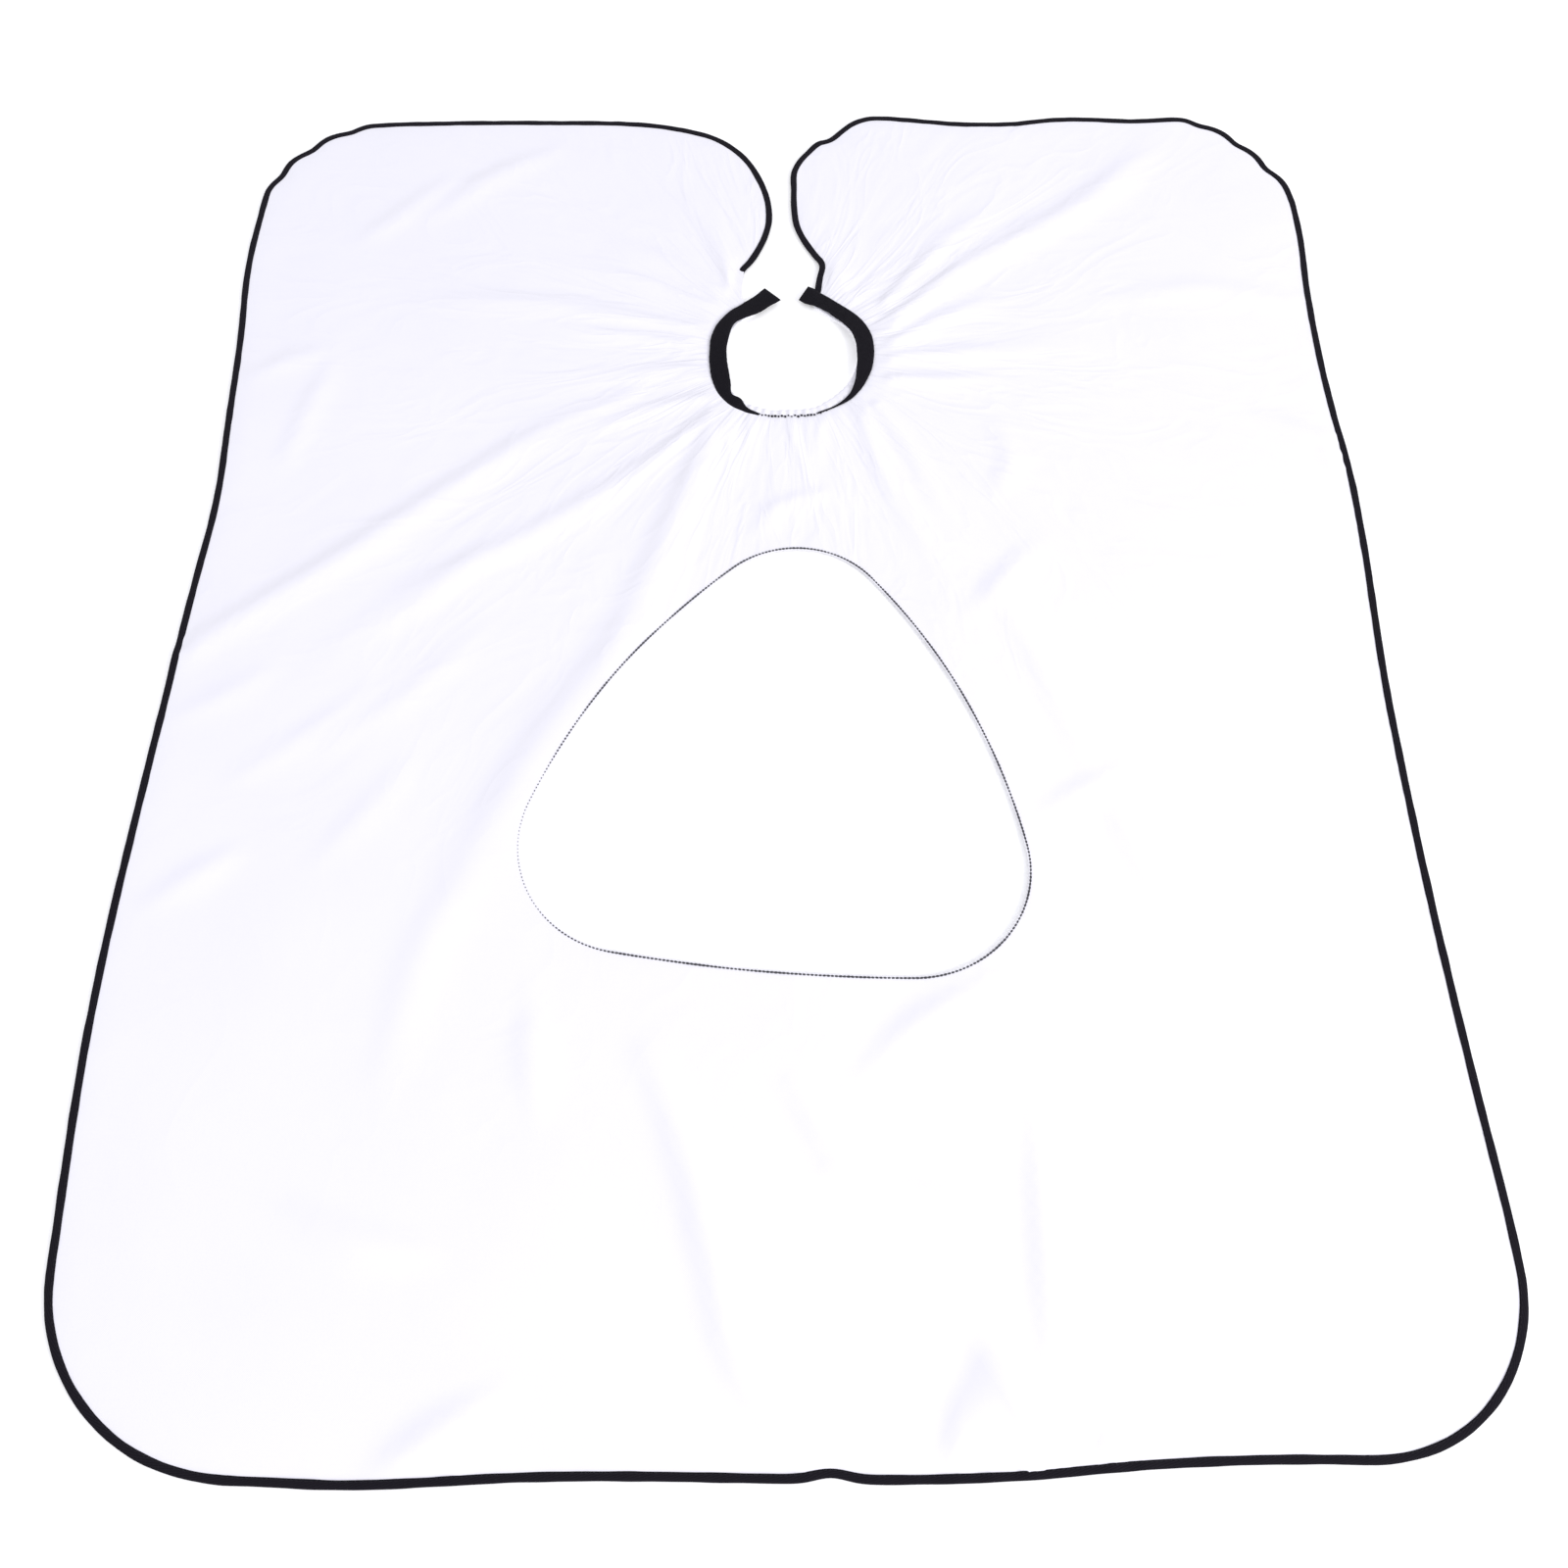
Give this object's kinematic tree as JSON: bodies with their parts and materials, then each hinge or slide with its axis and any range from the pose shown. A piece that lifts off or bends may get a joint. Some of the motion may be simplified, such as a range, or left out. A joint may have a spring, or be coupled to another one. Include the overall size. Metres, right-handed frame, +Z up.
{
  "type": "barber cape",
  "caption": "Light woven hair-cutting cape with a bound edge, a slit back, a gathered neckband closed by hook and loop tape, and a clear window at the front.",
  "frame": {"origin": "on the floor below the middle of the outstretched cape", "axes": "+Y from the hem towards the slit at the back of the neck, +X to the right as seen from the hem, +Z up from the floor"},
  "size_m": [1, 1.25, 0.0059],
  "materials": {
    "cape_fabric": "fine plain weave, slight sheen",
    "edge_binding": "black folded bias tape, fine weave",
    "dark_thread": "twisted polyester thread",
    "grey_thread": "twisted polyester thread",
    "elastic": "ribbed braided elastic",
    "closure_tape": "matt nylon hook and loop tape",
    "window_film": "clear soft film, glossy"
  },
  "bodies": {
    "cape": {"cape_panel_upper": "cape_fabric", "edge_binding_left": "edge_binding", "edge_binding_right": "edge_binding", "edge_thread_left": "dark_thread", "edge_thread_right": "dark_thread", "neck_casing": "cape_fabric", "neck_elastic": "elastic", "neck_seam_thread": "grey_thread", "hook_tape": "closure_tape", "hook_tape_thread": "dark_thread", "loop_tape": "closure_tape", "loop_tape_thread": "dark_thread", "window_film": "window_film", "window_thread": "grey_thread"},
    "skirt": {"cape_panel_lower": "cape_fabric", "edge_binding_lower": "edge_binding", "edge_thread_lower": "dark_thread"},
    "hook_end": {"hook_tape_end": "closure_tape"},
    "loop_end": {"loop_tape_end": "closure_tape"}
  },
  "joints": [
    {"name": "skirt_fold", "type": "hinge", "parent": "cape", "child": "skirt", "pos_m": [0, -0.325, 0.0126], "axis": [-1, 0, 0], "range_deg": [0, 178]},
    {"name": "hook_end_lift", "type": "hinge", "parent": "cape", "child": "hook_end", "pos_m": [-0.0262, 0.3793, 0.0051], "axis": [0.5806, -0.8142, 0], "range_deg": [0, 120]},
    {"name": "loop_end_lift", "type": "hinge", "parent": "cape", "child": "loop_end", "pos_m": [0.0417, 0.3864, 0.0051], "axis": [0.4, 0.9165, 0], "range_deg": [0, 120]}
  ]
}
